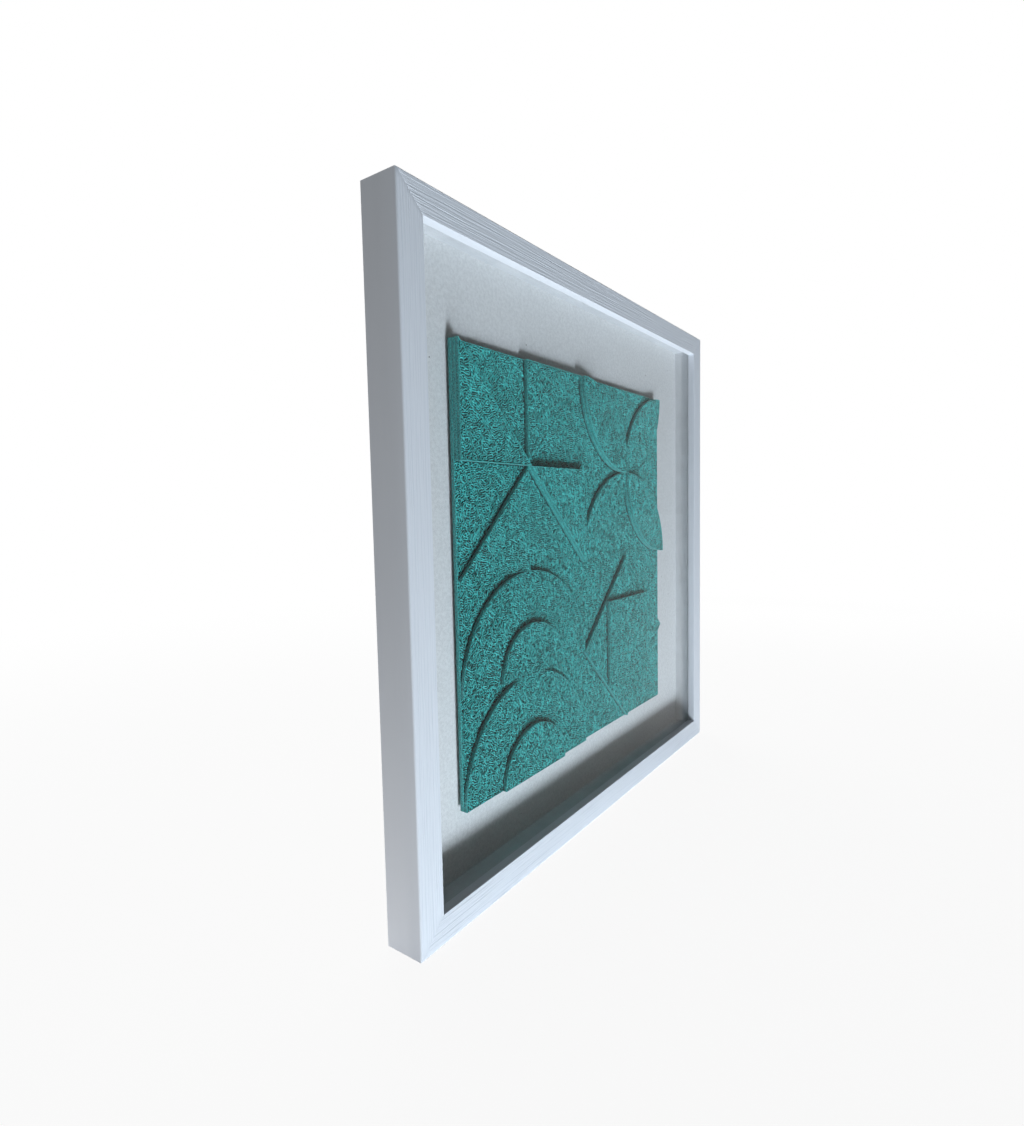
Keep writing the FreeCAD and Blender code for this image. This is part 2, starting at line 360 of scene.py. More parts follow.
metalFinishes = {
    "tabSteel": {
        "base": linear(176, 178, 182), "dark": linear(120, 122, 126),
        "stretch": (1.0, 1.0, 0.1), "scale": 2200.0,
        "lineRange": (0.3, 0.7), "rough": (0.26, 0.48), "bump": 0.25, "bumpMm": 0.04,
    },
    "hangerBrass": {
        "base": linear(205, 170, 98), "dark": linear(138, 104, 48),
        "stretch": (0.08, 1.0, 1.0), "scale": 2600.0,
        "lineRange": (0.3, 0.7), "rough": (0.22, 0.44), "bump": 0.25, "bumpMm": 0.04,
    },
}


def makeMetalMaterial(name, finish):
    mat = newMaterial(name)
    tree = mat.node_tree
    lines = useGroup(mat, linesGroup, {"Stretch": finish["stretch"], "Line Scale": finish["scale"]})
    setColor(mat, mixColors(tree, lines.outputs["Streak"], finish["base"], finish["dark"]))
    rough = mapRange(tree, lines.outputs["Height"], finish["lineRange"], finish["rough"])
    tree.links.new(rough, principled(mat).inputs["Roughness"])
    setFixed(mat, {"Metallic": 1.0})
    addBump(mat, lines, finish)
    return mat


metalMaterials = {name: makeMetalMaterial(name, finish) for name, finish in metalFinishes.items()}

tealPaper = {
    # The pit tone is painted shade for the deep places between the strips
    "base": linear(86, 218, 212), "deep": linear(46, 158, 156), "paintedPitShade": linear(20, 84, 83),
    "fibre": 2600.0, "cloud": 720.0, "contrast": 0.9, "rough": 0.72, "sheen": 0.15,
    "bump": 0.4, "bumpMm": 0.08,
    "grain": 0.85, "grainNoise": {"Scale": 900.0, "Detail": 1.0},
    "pitShadeRange": (0.7, 1.35),     # painted light level of the strips plus grain, over which the painted pit shade gives way
}


def makeTealMaterial():
    mat = newMaterial("tealPaper")
    tree = mat.node_tree
    crest = addFibre(mat, tealPaper)
    # Painted shade: the paper darkens towards the strips' feet, the floor between them and the band's back
    # and sides, by each point's painted light level
    height = addNode(tree, "ShaderNodeAttribute", {"attribute_name": "paintedLightLevel"})
    place = addNode(tree, "ShaderNodeTexCoord")
    grain = addNode(tree, "ShaderNodeTexNoise", None, tealPaper["grainNoise"])
    join(tree, place, "Object", grain, "Vector")
    paintedLightAndGrain = addMath(tree, "MULTIPLY_ADD", grain.outputs["Fac"], tealPaper["grain"], height.outputs["Fac"])
    paintedPitShade = mapRange(tree, paintedLightAndGrain, tealPaper["pitShadeRange"], (1.0, 0.0), "SMOOTHSTEP")
    setColor(mat, mixColors(tree, paintedPitShade, crest, tealPaper["paintedPitShade"]))
    setFixed(mat, {"Sheen Weight": tealPaper["sheen"]})
    return mat


tealMaterial = makeTealMaterial()

pictureGlass = {"clear": linear(253, 254, 254), "edge": linear(70, 140, 118), "index": 1.16, "rough": 0.0}


def makeGlassMaterial():
    mat = newMaterial("pictureGlass")
    tree = mat.node_tree
    setFixed(mat, {
        "Roughness": pictureGlass["rough"], "IOR": pictureGlass["index"], "Transmission Weight": 1.0})
    where = addNode(tree, "ShaderNodeNewGeometry")
    parts = addNode(tree, "ShaderNodeSeparateXYZ")
    join(tree, where, "Normal", parts, "Vector")
    facing = addMath(tree, "ABSOLUTE", parts.outputs["Y"])
    setColor(mat, mixColors(tree, facing, pictureGlass["edge"], pictureGlass["clear"]))
    path = addNode(tree, "ShaderNodeLightPath")
    through = addNode(tree, "ShaderNodeBsdfTransparent")
    mixShaders(tree, path.outputs["Is Shadow Ray"], principled(mat).outputs["BSDF"], through.outputs["BSDF"],
               "Material Output")
    return mat


glassMaterial = makeGlassMaterial()

bumperRubber = {
    "base": linear(128, 130, 132), "deep": linear(96, 98, 100),
    "fibre": 1800.0, "cloud": 120.0, "contrast": 0.8, "rough": 0.5, "bump": 0.2, "bumpMm": 0.05,
}


def makeRubberMaterial():
    mat = newMaterial("bumperRubber")
    setColor(mat, addFibre(mat, bumperRubber))
    return mat


rubberMaterial = makeRubberMaterial()
print("materials built")


def giveMaterial(obj, mat):
    obj.data.materials.clear()
    obj.data.materials.append(mat)


cadMaterials = {
    "glass_pane": glassMaterial,
    "mount_board": boardMaterials["mountBoard"],
    "back_board": boardMaterials["hardboard"],
    "relief_float_mount": boardMaterials["foamBoard"],
    "back_board_tabs": metalMaterials["tabSteel"],
    "corner_nails": metalMaterials["tabSteel"],
    "sawtooth_hanger": metalMaterials["hangerBrass"],
    "hanger_screws": metalMaterials["hangerBrass"],
    "wall_bumpers": rubberMaterial,
}
for side in ("top", "bottom", "left", "right"):
    cadMaterials["spacer_" + side] = boardMaterials["spacerBoard"]
for nodeName, mat in cadMaterials.items():
    giveMaterial(nodes[nodeName], mat)


# Mesh helpers
def newPiece(name, verts, faces, mat, values=None, valueName=None):
    mesh = bpy.data.meshes.new(name)
    mesh.from_pydata(verts.tolist(), [], faces)
    mesh.update()
    if values is not None:
        attribute = mesh.attributes.new(valueName, "FLOAT", "POINT")
        attribute.data.foreach_set("value", np.asarray(values, np.float32))
    obj = bpy.data.objects.new(name, mesh)
    bpy.context.scene.collection.objects.link(obj)
    giveMaterial(obj, mat)
    return obj


def smoothNoise(rng, shape, spread, widest=None):
    # Random values blurred along each axis by a spread in samples, with whatever is wider than widest
    # across the columns taken out, then scaled to about one
    rows = np.fft.fftfreq(shape[0])[:, None]
    columns = np.fft.fftfreq(shape[1])[None, :]
    blur = np.exp(-2 * (np.pi ** 2) * ((rows * spread[0]) ** 2 + (columns * spread[1]) ** 2))
    if widest:
        blur *= 1 - np.exp(-2 * (np.pi ** 2) * (columns * widest) ** 2)
    values = np.fft.ifft2(np.fft.fft2(rng.standard_normal(shape)) * blur).real
    return values / values.std()


# Combed rails, lengths in mm
railComb = {
    "stepAcross": 0.3,         # between the lines of the comb's mesh
    "stepAlong": 5.0,
    "lineSpread": 0.26,        # width of one drawn line
    "widestLine": 0.8,
    "runSpread": 13.0,         # length over which a line fades
    "mean": 0.11,
    "swing": 0.065,
    "deepest": 0.3,
    "edgeFree": 1.4,           # plain paint beside each edge
    "outerRound": 1.8,
    "innerRound": 0.7,
    "roundSteps": 6,
    "mitreDip": 0.16,          # the joint line at the corners
    "mitreWidth": 0.35,
    "mitreReach": 3,           # points past the face that the joint line takes in
    "glassPlay": 1.0,          # between the glass and the rail
    "sharpAngle": 40,
    "seed": 41,
}


def roundCorner(centre, radius, startAngle, endAngle, steps):
    angles = np.radians(np.linspace(startAngle, endAngle, steps + 1))
    return [(centre[0] + radius * math.cos(a), centre[1] + radius * math.sin(a)) for a in angles]


def railProfile(depth, faceWidth, lip, wall):
    # Points (across, depth) round the section, and which of them carry the comb
    outer = railComb["outerRound"]
    inner = railComb["innerRound"]
    count = int((faceWidth - outer - inner) / railComb["stepAcross"])
    face = [(s, 0.0) for s in np.linspace(outer, faceWidth - inner, count)]
    points = [(0.0, depth), (0.0, depth * 0.5)]
    points += roundCorner((outer, outer), outer, 180, 270, railComb["roundSteps"])[:-1]
    start = len(points)
    points += face
    end = len(points)
    points += roundCorner((faceWidth - inner, inner), inner, 270, 360, railComb["roundSteps"])[1:]
    points += [(faceWidth, lip), (wall, lip), (wall, depth)]
    return np.array(points), start, end


def combDepths(rng, along, across, faceWidth):
    rows = len(along)
    stepAcross = railComb["stepAcross"]
    spread = (railComb["runSpread"] / railComb["stepAlong"], railComb["lineSpread"] / stepAcross)
    lines = smoothNoise(rng, (rows, len(across)), spread, railComb["widestLine"] / stepAcross)
    depth = railComb["mean"] + railComb["swing"] * lines
    free = railComb["edgeFree"]
    edge = np.clip(np.minimum(across, faceWidth - across) / free, 0, 1)
    edge = edge * edge * (3 - 2 * edge)
    return np.clip(depth, 0, railComb["deepest"]) * edge[None, :]


def makeRail(nodeName, mat, place, length, section, rng):
    depth, faceWidth, lip, wall, frontY = section
    points, start, end = railProfile(depth, faceWidth, lip, wall)
    steps = int(length / railComb["stepAlong"])
    nearEnd = 1 - railComb["mitreWidth"] / (length / 2)
    along = np.concatenate([[-1, -nearEnd], np.linspace(-nearEnd, nearEnd, steps)[1:-1], [nearEnd, 1]])
    across = points[start:end, 0]
    comb = combDepths(rng, along, across, faceWidth)
    sunk = np.zeros((len(along), len(points)))
    sunk[:, start:end] = comb
    dip = np.zeros(len(along))
    dip[[0, -1]] = railComb["mitreDip"]
    reach = railComb["mitreReach"]
    isFront = np.zeros(len(points))
    isFront[start - reach:end + reach] = 1
    sunk = np.maximum(sunk, dip[:, None] * isFront[None, :])
    s = np.broadcast_to(points[:, 0], sunk.shape)
    t = along[:, None] * (length / 2 - s)
    y = frontY + points[:, 1][None, :] + sunk
    verts = np.stack([*place(t, s), y], -1)[..., [0, 2, 1]].reshape(-1, 3) * mm
    rows, columns = sunk.shape
    i, j = np.meshgrid(np.arange(rows - 1), np.arange(columns), indexing="ij")
    k = (j + 1) % columns
    here, there = i * columns, (i + 1) * columns
    faces = np.stack([here + j, here + k, there + k, there + j], -1).reshape(-1, 4).tolist()
    faces.append(list(range(columns))[::-1])
    faces.append([(rows - 1) * columns + c for c in range(columns)])
    combValue = (sunk / railComb["deepest"]).reshape(-1)
    obj = newPiece(nodeName + "_combed", verts, faces, mat, combValue, "combDepth")
    obj.data.polygons.foreach_set("use_smooth", [True] * len(obj.data.polygons))
    obj.data.set_sharp_from_angle(angle=math.radians(railComb["sharpAngle"]))
    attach(obj, "root")
    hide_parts(nodeName)


def makeRails():
    low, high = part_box("rail_bottom")
    leftLow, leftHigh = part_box("rail_left")
    glassLow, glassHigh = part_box("glass_pane")
    width = (high.x - low.x) / mm
    height = (leftHigh.z - leftLow.z) / mm
    frontY = low.y / mm
    depth = (high.y - low.y) / mm
    faceWidth = (high.z - low.z) / mm
    lip = (glassLow.y - low.y) / mm
    wall = glassLow.z / mm - railComb["glassPlay"]
    section = (depth, faceWidth, lip, wall, frontY)
    rng = np.random.default_rng(railComb["seed"])
    across = railMaterials["across"]
    upright = railMaterials["upright"]
    makeRail("rail_bottom", across, lambda t, s: (t, s), width, section, rng)
    makeRail("rail_top", across, lambda t, s: (-t, height - s), width, section, rng)
    makeRail("rail_left", upright, lambda t, s: (s - width / 2, -t + height / 2), height, section, rng)
    makeRail("rail_right", upright, lambda t, s: (width / 2 - s, t + height / 2), height, section, rng)


makeRails()
print("rails combed")

# Quilled relief, lengths in mm
relief = {
    "cells": 4,
    "motifGap": 0.3,           # joint between motifs
    "bandThickness": 0.5,      # paper strip that runs round each motif
    "bandStep": 1.6,
    "bandRound": 0.22,
    "pitDepth": 1.3,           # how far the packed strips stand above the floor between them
    "stripPitch": 1.8,
    "stripThickness": 0.8,
    "tuck": 0.05,              # how far strips reach into the band and the floor
    "coverFree": 0.25,         # left free round a motif of the next layer
    "gridStep": 0.9,
    "gridCount": 432,
    "gridMargin": 2.0,
    "heightSwing": 0.34,
    "heightSpread": 0.9,       # how far along a strip its height holds
    "riseShift": 0.7,          # how much more strips sink than rise
    "riseRange": (-2.6, 0.4),
    "proud": 0.15,             # how far a strip may stand past its layer
    "leanSwing": 0.15,
    "leanSpread": 1.3,
    "tipSwing": 0.3,           # how far the top of a strip tips to one side
    "tipSpread": 0.7,
    "mostSwing": 2,            # limit of the lean and the tip, in times their swing
    "crimp": 0.12,
    "directional": 0.12,       # how much the strips of a motif keep to one direction
    "ringWidth": 0.25,         # how much the spacing of the strips varies
    "sharpenRounds": 2,
    "sharpenGain": 2.2,
    "mostFaces": 60000,        # a bed of strips with more is made in quarters
    "seed": 2207,
}


def lineEdge(a, b):
    # Straight edge, with the inside on the left of a to b
    a, b = np.array(a, float), np.array(b, float)
    run = (b - a) / np.linalg.norm(b - a)
    inward = np.array([-run[1], run[0]])
    return {"kind": "line", "from": a, "to": b, "inward": inward}


def arcEdge(a, b, centre):
    # Arc run counter-clockwise about its centre, with the inside towards the centre
    a, b, centre = (np.array(p, float) for p in (a, b, centre))
    return {"kind": "arc", "from": a, "to": b, "centre": centre, "radius": np.linalg.norm(a - centre)}


def insideBy(edge, points):
    # Distance inside the edge, and the inward direction, at each point
    points = np.asarray(points, float)
    if edge["kind"] == "line":
        distance = (points - edge["from"]) @ edge["inward"]
        return distance, np.broadcast_to(edge["inward"], points.shape)
    away = points - edge["centre"]
    length = np.linalg.norm(away, axis=-1)
    inward = -away / np.maximum(length, 1e-9)[..., None]
    return edge["radius"] - length, inward


def insetCorner(corner, before, after, inset):
    point = np.array(corner, float)
    for _ in range(6):         # rounds enough to settle on a corner of arcs
        d1, n1 = insideBy(before, point)
        d2, n2 = insideBy(after, point)
        point = point + np.linalg.solve(np.array([n1, n2]), np.array([inset - d1, inset - d2]))
    return point


def outlineOf(edges, inset):
    # Closed line of points at an inset, as many for each inset
    count = len(edges)
    corners = [insetCorner(edges[i]["from"], edges[i - 1], edges[i], inset) for i in range(count)]
    points = []
    for i, edge in enumerate(edges):
        a, b = corners[i], corners[(i + 1) % count]
        if edge["kind"] == "line":
            steps = max(2, int(np.linalg.norm(edge["to"] - edge["from"]) / relief["bandStep"]))
            share = np.linspace(0, 1, steps, endpoint=False)[:, None]
            points.append(a + (b - a) * share)
        else:
            radius = edge["radius"] - inset
            first = math.atan2(*(a - edge["centre"])[::-1])
            last = math.atan2(*(b - edge["centre"])[::-1])
            if last <= first:
                last += 2 * math.pi
            ends = [math.atan2(*(edge[end] - edge["centre"])[::-1]) for end in ("from", "to")]
            turn = (ends[1] - ends[0]) % (2 * math.pi)     # of the whole edge, the same for each inset
            steps = max(6, int(edge["radius"] * turn / relief["bandStep"]))
            angles = np.linspace(first, last, steps, endpoint=False)
            points.append(edge["centre"] + radius * np.stack([np.cos(angles), np.sin(angles)], -1))
    return np.concatenate(points)


def depthInside(edges, points):
    return np.min([insideBy(edge, points)[0] for edge in edges], axis=0)


def quarterTurned(point, centre, turns):
    x, z = point[0] - centre[0], point[1] - centre[1]
    for _ in range(turns):
        x, z = z, -x
    return (centre[0] + x, centre[1] + z)


def polygonEdges(corners):
    return [lineEdge(a, b) for a, b in zip(corners, corners[1:] + corners[:1])]


def bladeEdges(turns):
    corners = [quarterTurned(p, (1, 3), turns) for p in ((0, 4), (0, 3), (1, 3))]
    return polygonEdges(corners)


def petalEdges(turns):
    middle = (3, 3)
    tip, nearCentre, farCentre = (quarterTurned(p, middle, turns) for p in ((2, 4), (2, 3), (3, 4)))
    return [arcEdge(middle, tip, nearCentre), arcEdge(tip, middle, farCentre)]


def halfRoundEdges(baseRow, radius):
    left, right = (1 - radius, baseRow), (1 + radius, baseRow)
    return [lineEdge(left, right), arcEdge(right, left, (1, baseRow))]


def motifList():
    # Node name, layer, edges in cells, direction of the strips in degrees
    motifs = [("relief_base", 1, polygonEdges([(0, 0), (4, 0), (4, 4), (0, 4)]), 18)]
    for turns in range(4):
        motifs.append((f"pinwheel_blade_{turns + 1}", 2, bladeEdges(turns), 20 + 50 * turns))
        motifs.append((f"petal_{turns + 1}", 2, petalEdges(turns), 35 - 40 * turns))
    for turns in (0, 2):
        motifs.append((f"pinwheel_cap_{turns + 1}", 3, bladeEdges(turns), 20 + 50 * turns))
        motifs.append((f"petal_cap_{turns + 1}", 3, petalEdges(turns), 35 - 40 * turns))
    for baseRow, name in ((1, "upper"), (0, "lower")):
        motifs.append((f"half_round_{name}", 2, halfRoundEdges(baseRow, 1.0), 12 + 30 * baseRow))
        motifs.append((f"half_round_cap_{name}", 3, halfRoundEdges(baseRow, 0.5), 70 - 40 * baseRow))
    motifs.append(("diamond", 2, polygonEdges([(3, 0), (4, 1), (3, 2), (2, 1)]), 48))
    motifs.append(("diamond_cap", 3, polygonEdges([(2.5, 0.5), (3.5, 0.5), (3.5, 1.5), (2.5, 1.5)]), 8))
    return motifs


def inMillimetres(edges, origin, cell):
    # The same edges in the frame's millimetres
    moved = []
    for edge in edges:
        copy = dict(edge)
        for key in ("from", "to", "centre"):
            if key in copy:
                copy[key] = origin + copy[key] * cell
        if "radius" in copy:
            copy["radius"] = copy["radius"] * cell
        moved.append(copy)
    return moved


def stripField(rng, direction):
    # Smooth values whose zero lines wander like packed strips on edge
    count = relief["gridCount"]
    ky = np.fft.fftfreq(count, relief["gridStep"])[:, None]
    kx = np.fft.fftfreq(count, relief["gridStep"])[None, :]
    k = np.hypot(kx, ky)
    wanted = 1 / (2 * relief["stripPitch"])
    ring = np.exp(-((k - wanted) / (relief["ringWidth"] * wanted)) ** 2)
    across = math.radians(direction + 90)
    lined = ((kx * math.cos(across) + ky * math.sin(across)) / np.maximum(k, 1e-9)) ** 2
    ring *= 1 - relief["directional"] + relief["directional"] * lined
    values = np.fft.ifft2(np.fft.fft2(rng.standard_normal((count, count))) * ring).real
    for _ in range(relief["sharpenRounds"]):
        values = np.tanh(relief["sharpenGain"] * (values / values.std()))
        values = np.fft.ifft2(np.fft.fft2(values) * ring).real
    return values / values.std()


def sampleGrid(values, points, origin):
    # Values between the grid's samples at each point
    place = (points - origin) / relief["gridStep"]
    cellIndex = np.clip(np.floor(place).astype(int), 0, relief["gridCount"] - 2)
    share = place - cellIndex
    x, z = cellIndex[:, 0], cellIndex[:, 1]
    fx, fz = share[:, 0], share[:, 1]
    low = values[z, x] * (1 - fx) + values[z, x + 1] * fx
    high = values[z + 1, x] * (1 - fx) + values[z + 1, x + 1] * fx
    return low * (1 - fz) + high * fz


def wander(rng, spread, points, origin):
    # Random value at each point that changes smoothly over the spread
    count = relief["gridCount"]
    values = smoothNoise(rng, (count, count), (spread / relief["gridStep"],) * 2)
    return sampleGrid(values, points, origin)


def zeroLines(values, origin):
    # Points where the field crosses zero on the grid's lines, and the short runs that join them
    step = relief["gridStep"]
    rows, columns = values.shape
    flatCross = (values[:, :-1] > 0) != (values[:, 1:] > 0)
    tallCross = (values[:-1, :] > 0) != (values[1:, :] > 0)
    flatId = np.full(flatCross.shape, -1)
    flatId[flatCross] = np.arange(flatCross.sum())
    tallId = np.full(tallCross.shape, -1)
    tallId[tallCross] = flatCross.sum() + np.arange(tallCross.sum())
    z, x = np.nonzero(flatCross)
    share = values[z, x] / (values[z, x] - values[z, x + 1])
    flatPoints = np.stack([x + share, z], -1)
    z, x = np.nonzero(tallCross)
    share = values[z, x] / (values[z, x] - values[z + 1, x])
    tallPoints = np.stack([x, z + share], -1)
    points = origin + np.concatenate([flatPoints, tallPoints]) * step
    sides = np.stack([flatId[:-1, :], tallId[:, 1:], flatId[1:, :], tallId[:, :-1]], -1).reshape(-1, 4)
    crossed = (sides >= 0).sum(1)
    single = sides[crossed == 2]
    pairs = np.sort(single, 1)[:, 2:]
    double = sides[crossed == 4]
    pairs = np.concatenate([pairs, double[:, [0, 3]], double[:, [1, 2]]])
    return points, pairs


def packedStrips(edges, covers, topY, rng, direction, origin):
    # Thin walls of paper on edge along the field's zero lines, inside the motif and clear of its covers
    values = stripField(rng, direction)
    points, pairs = zeroLines(values, origin)
    gap = relief["motifGap"] / 2
    allowed = depthInside(edges, points) > gap + relief["bandThickness"] - relief["tuck"]
    for cover in covers:
        allowed &= depthInside(cover, points) < gap - relief["coverFree"]
    pairs = pairs[allowed[pairs].all(1)]
    used = np.unique(pairs)
    renumber = np.full(len(points), -1)
    renumber[used] = np.arange(len(used))
    points, pairs = points[used], renumber[pairs]
    slopeZ, slopeX = np.gradient(values)
    slope = np.stack([sampleGrid(slopeX, points, origin), sampleGrid(slopeZ, points, origin)], -1)
    normal = slope / np.maximum(np.linalg.norm(slope, axis=1), 1e-9)[:, None]
    run = points[pairs[:, 1]] - points[pairs[:, 0]]
    side = run[:, 0] * normal[pairs[:, 0], 1] - run[:, 1] * normal[pairs[:, 0], 0]
    pairs[side < 0] = pairs[side < 0][:, ::-1]
    most = relief["mostSwing"]
    rise = wander(rng, relief["heightSpread"], points, origin) - relief["riseShift"]
    rise = relief["heightSwing"] * np.clip(rise, *relief["riseRange"])
    lean = relief["leanSwing"] * np.clip(wander(rng, relief["leanSpread"], points, origin), -most, most)
    middle = points + normal * (relief["crimp"] * rng.uniform(-1, 1, len(points)))[:, None]
    tip = relief["tipSwing"] * np.clip(wander(rng, relief["tipSpread"], points, origin), -most, most)
    highest = topY - relief["proud"]
    top = topY - np.minimum(rise, relief["proud"])
    left, right = np.maximum(top + tip, highest), np.maximum(top - tip, highest)
    bottom = np.full(len(points), topY + relief["pitDepth"] + relief["tuck"])
    upright = np.zeros(len(points))
    half = relief["stripThickness"] / 2
    rows = []
    walls = ((half, left, lean), (-half, right, lean), (half, bottom, upright), (-half, bottom, upright))
    for offset, height, shift in walls:
        place = middle + normal * (offset + shift)[:, None]
        rows.append(np.stack([place[:, 0], height, place[:, 1]], -1))
    verts = np.concatenate(rows)
    n = len(points)
    a, b = pairs[:, 0], pairs[:, 1]
    faces = np.concatenate([
        np.stack([a, a + n, b + n, b], -1),
        np.stack([a + 2 * n, a, b, b + 2 * n], -1),
        np.stack([a + n, a + 3 * n, b + 3 * n, b + n], -1),
    ])
    # Painted light level: 1 at the strips' tops and 0 at their feet, so the pits between them get painted
    # shade
    paintedLight = np.concatenate([np.ones(2 * n), np.zeros(2 * n)])
    return verts, faces, paintedLight


def bandedTray(edges, topY, bottomY):
    # Strip of paper round the motif, with the floor that the packed strips stand on
    gap = relief["motifGap"] / 2
    thick = relief["bandThickness"]
    turn = relief["bandRound"]
    floorY = topY + relief["pitDepth"]
    # Inset, depth and painted light level of each ring, from the back over the band's rounded top to the
    # floor; the back, the sides and the floor get painted shade
    rings = [
        (gap + turn, bottomY, 0.2), (gap, bottomY - turn, 0.5), (gap, topY + turn, 0.65),
        (gap + turn, topY, 1.0), (gap + thick - turn, topY, 0.9), (gap + thick, topY + turn, 0.7),
        (gap + thick, floorY, 0.0),
    ]
    verts = []
    paintedLight = []
    for inset, y, value in rings:
        outline = outlineOf(edges, inset)
        verts.append(np.stack([outline[:, 0], np.full(len(outline), y), outline[:, 1]], -1))
        paintedLight += [value] * len(outline)
    n = len(verts[0])
    here = np.arange(n)
    there = (here + 1) % n
    faces = []
    for ring in range(len(rings) - 1):
        first, second = ring * n, (ring + 1) * n
        faces += np.stack([first + here, first + there, second + there, second + here], -1).tolist()
    faces.append(((len(rings) - 1) * n + here).tolist())
    faces.append(here[::-1].tolist())
    return np.concatenate(verts), faces, np.array(paintedLight)


def makeRelief():
    baseLow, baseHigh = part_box("relief_base")
    gap = relief["motifGap"]
    origin = np.array([baseLow.x, baseLow.z]) / mm - gap / 2
    cell = ((baseHigh.x - baseLow.x) / mm + gap) / relief["cells"]
    middle = origin + cell * relief["cells"] / 2
    motifs = [
        (name, layer, inMillimetres(edges, origin, cell), angle)
        for name, layer, edges, angle in motifList()
    ]
    gridOrigin = origin - relief["gridMargin"]
    total = 0
    for index, (name, layer, edges, angle) in enumerate(motifs):
        rng = np.random.default_rng(relief["seed"] + index)
        motifLow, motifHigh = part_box(name)
        topY, bottomY = motifLow.y / mm, motifHigh.y / mm
        covers = [other[2] for other in motifs if other[1] == layer + 1]
        verts, faces, paintedLight = bandedTray(edges, topY, bottomY)
        tray = newPiece(name + "_tray", verts * mm, faces, tealMaterial, paintedLight, "paintedLightLevel")
        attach(tray, "root")
        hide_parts(name)
        stripVerts, stripFaces, stripPaintedLight = packedStrips(edges, covers, topY, rng, angle, gridOrigin)
        quarters = np.zeros(len(stripFaces), int)
        if len(stripFaces) > relief["mostFaces"]:
            past = stripVerts[stripFaces].mean(1)[:, [0, 2]] > middle
            quarters = past[:, 0] + 2 * past[:, 1]
        for quarter in np.unique(quarters):
            chosen = stripFaces[quarters == quarter]
            used, faces = np.unique(chosen, return_inverse=True)
            faces = faces.reshape(chosen.shape).tolist()
            label = f"{name}_strips_{quarter + 1}" if quarters.any() else name + "_strips"
            verts, paintedLight = stripVerts[used] * mm, stripPaintedLight[used]
            bed = newPiece(label, verts, faces, tealMaterial, paintedLight, "paintedLightLevel")
            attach(bed, "root")
            print(f"{label}: {2 * len(faces)} triangles")
        total += 2 * len(stripFaces)
    print(f"relief packed, {total} triangles")


makeRelief()

# Floor, surroundings and lamps
studio = {
    "floorSize": 40.0,
    "floorColor": linear(208, 209, 210),
    "floorRough": 0.9,
    "floorGloss": 0.1,
    "whiteNear": 0.93,         # share of plain white that the floor shows near the part
    "whiteRange": (0.45, 1.8),     # distances over which it goes to plain white, m
    "floorMirror": 0.4,        # share of the floor's white that polished surfaces see
    "ambient": 0.03,
    "ambientColor": (1.0, 0.985, 0.96, 1.0),
    "darkSide": 0.25,          # share of white that polished surfaces see in front of the part
    "turnRange": (-0.1, 0.35),     # directions, front to back, over which it goes to plain white
}


def whiteRays(tree):
    # Rays that meet the surroundings before any matt bounce and so may show plain white:
    # those from the camera, straight or through glass, and those mirrored by polished surfaces
    path = addNode(tree, "ShaderNodeLightPath")
    first = addMath(tree, "LESS_THAN", path.outputs["Diffuse Depth"], 0.5)
    straight = addMath(tree, "MAXIMUM", path.outputs["Is Camera Ray"], path.outputs["Is Transmission Ray"])
    direct = addMath(tree, "MULTIPLY", straight, first)
    glossy = addMath(tree, "MULTIPLY", path.outputs["Is Glossy Ray"], first)
    return direct, glossy


def makeFloor():
    corner = studio["floorSize"] / 2
    corners = [(x * corner, y * corner, 0) for x, y in ((-1, -1), (1, -1), (1, 1), (-1, 1))]
    mesh = bpy.data.meshes.new("studioFloor")
    mesh.from_pydata(corners, [], [(0, 1, 2, 3)])
    floor = bpy.data.objects.new("studioFloor", mesh)
    bpy.context.scene.collection.objects.link(floor)
    floor.visible_shadow = False           # so that the low lamps shine through it
    mat = newMaterial("studioFloor")
    tree = mat.node_tree
    setFixed(mat, {"Base Color": studio["floorColor"], "Roughness": studio["floorRough"],
                   "Specular IOR Level": studio["floorGloss"]})
    plain = addNode(tree, "ShaderNodeEmission")
    place = addNode(tree, "ShaderNodeTexCoord")
    far = addNode(tree, "ShaderNodeVectorMath", {"operation": "LENGTH"})
    join(tree, place, "Object", far, 0)
    white = (studio["whiteNear"], 1.0)
    share = mapRange(tree, far.outputs["Value"], studio["whiteRange"], white, "SMOOTHSTEP")
    direct, glossy = whiteRays(tree)
    mirrored = addMath(tree, "MULTIPLY", glossy, studio["floorMirror"])
    seen = addMath(tree, "MAXIMUM", direct, mirrored)
    mixShaders(tree, addMath(tree, "MULTIPLY", share, seen), principled(mat).outputs["BSDF"],
               plain.outputs["Emission"], "Material Output")
    giveMaterial(floor, mat)


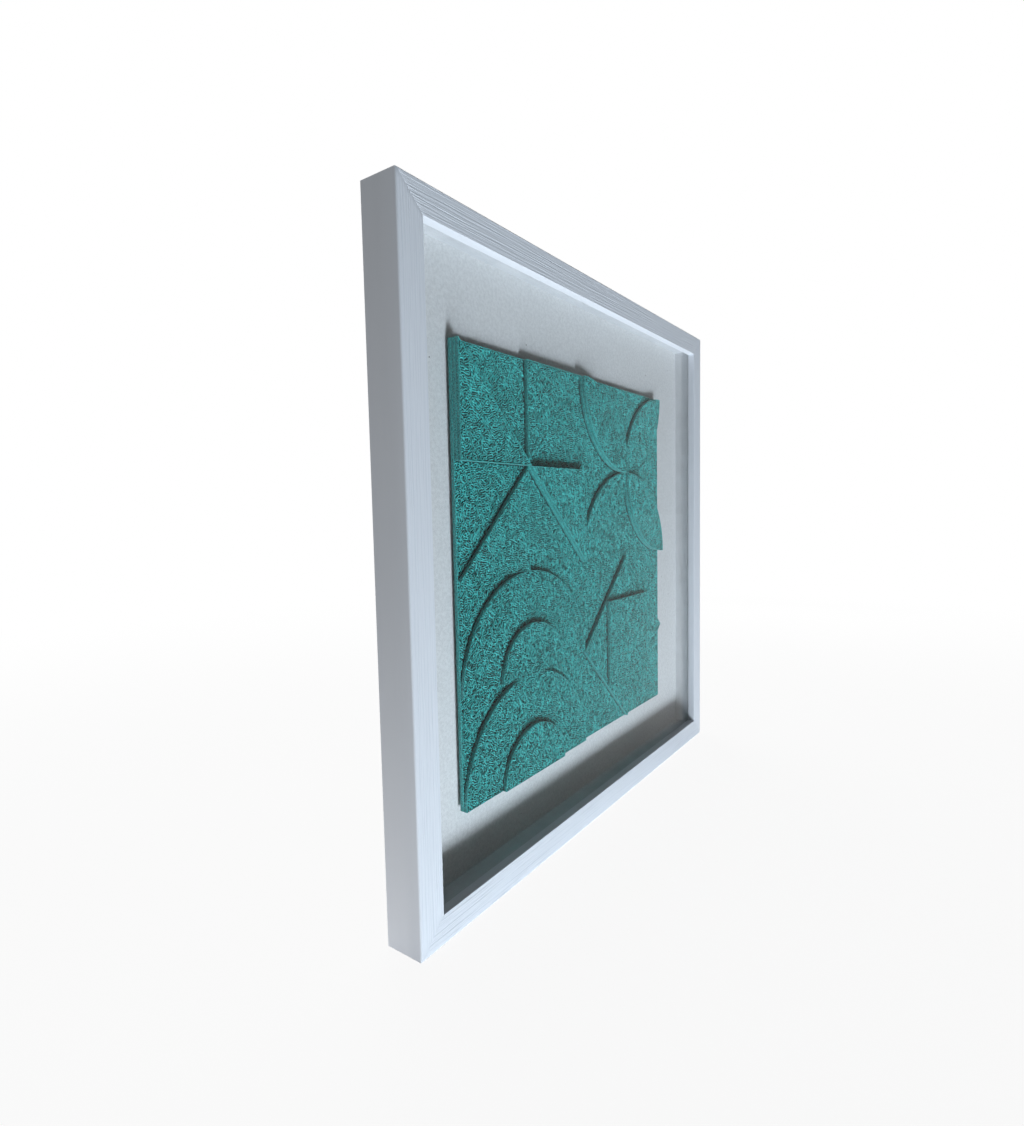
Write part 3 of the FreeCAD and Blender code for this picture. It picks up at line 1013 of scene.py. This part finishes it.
def makeWorld():
    world = bpy.data.worlds.new("studioWorld")
    world.use_nodes = True
    bpy.context.scene.world = world
    tree = world.node_tree
    soft = tree.nodes["Background"]
    soft.inputs["Color"].default_value = studio["ambientColor"]
    soft.inputs["Strength"].default_value = studio["ambient"]
    white = addNode(tree, "ShaderNodeBackground", None, {"Color": (1, 1, 1, 1), "Strength": 1.0})
    place = addNode(tree, "ShaderNodeTexCoord")
    parts = addNode(tree, "ShaderNodeSeparateXYZ")
    join(tree, place, "Generated", parts, "Vector")
    behind = mapRange(tree, parts.outputs["Y"], studio["turnRange"], (studio["darkSide"], 1.0), "SMOOTHSTEP")
    direct, glossy = whiteRays(tree)
    mirrored = addMath(tree, "MULTIPLY", glossy, behind)
    seen = addMath(tree, "MAXIMUM", direct, mirrored)
    mixShaders(tree, seen, soft.outputs["Background"], white.outputs["Background"], "World Output")


lamps = {
    "lowKey": {"place": (-0.85, -2.6, -2.4), "aim": (0, 0, 0.27), "size": (0.9, 0.9), "power": 106.0,
               "color": (0.80, 0.895, 1.0)},
    "lowFront": {"place": (-0.3, -0.35, -0.35), "aim": (0, 0, 0.1), "size": (0.3, 0.3), "power": 2.9,
                 "color": (0.84, 0.92, 1.0)},
    "lowUnder": {"place": (-0.1, -0.07, -1.5), "aim": (0, 0, 0), "size": (0.12, 0.12), "power": 13.0,
                 "color": (0.9, 0.95, 1.0)},
    "lowSide": {"place": (-0.55, 0.1, -0.36), "aim": (-0.265, 0, 0.2), "size": (0.3, 0.3), "power": 1.45,
                "color": (1.0, 0.96, 0.95)},
    "topFill": {"place": (0.2, 0.6, 2.0), "aim": (0, 0, 0.1), "size": (1.2, 1.2), "power": 15.0,
                "color": (1.0, 0.99, 0.98)},
    "backFill": {"place": (0.7, 1.3, 0.9), "aim": (0, 0, 0.25), "size": (1.2, 1.2), "power": 12.0,
                 "color": (1.0, 0.99, 0.98)},
    "rightFill": {"place": (1.4, 0.12, 0.5), "aim": (0.26, 0, 0.26), "size": (0.8, 0.8), "power": 6.0,
                  "color": (1.0, 0.99, 0.98)},
}


def makeLamps():
    for name, spec in lamps.items():
        data = bpy.data.lights.new(name, "AREA")
        data.shape = "RECTANGLE"
        data.size, data.size_y = spec["size"]
        data.energy = spec["power"]
        data.color = spec["color"]
        lamp = bpy.data.objects.new(name, data)
        bpy.context.scene.collection.objects.link(lamp)
        lamp.location = spec["place"]
        lamp.rotation_mode = "QUATERNION"
        lamp.rotation_quaternion = (Vector(spec["aim"]) - Vector(spec["place"])).to_track_quat("-Z", "Y")
        lamp.visible_camera = False
        lamp.visible_glossy = False
        lamp.visible_transmission = False


makeFloor()
makeWorld()
makeLamps()
bpy.context.scene.view_settings.view_transform = "Standard"
print("studio lit")
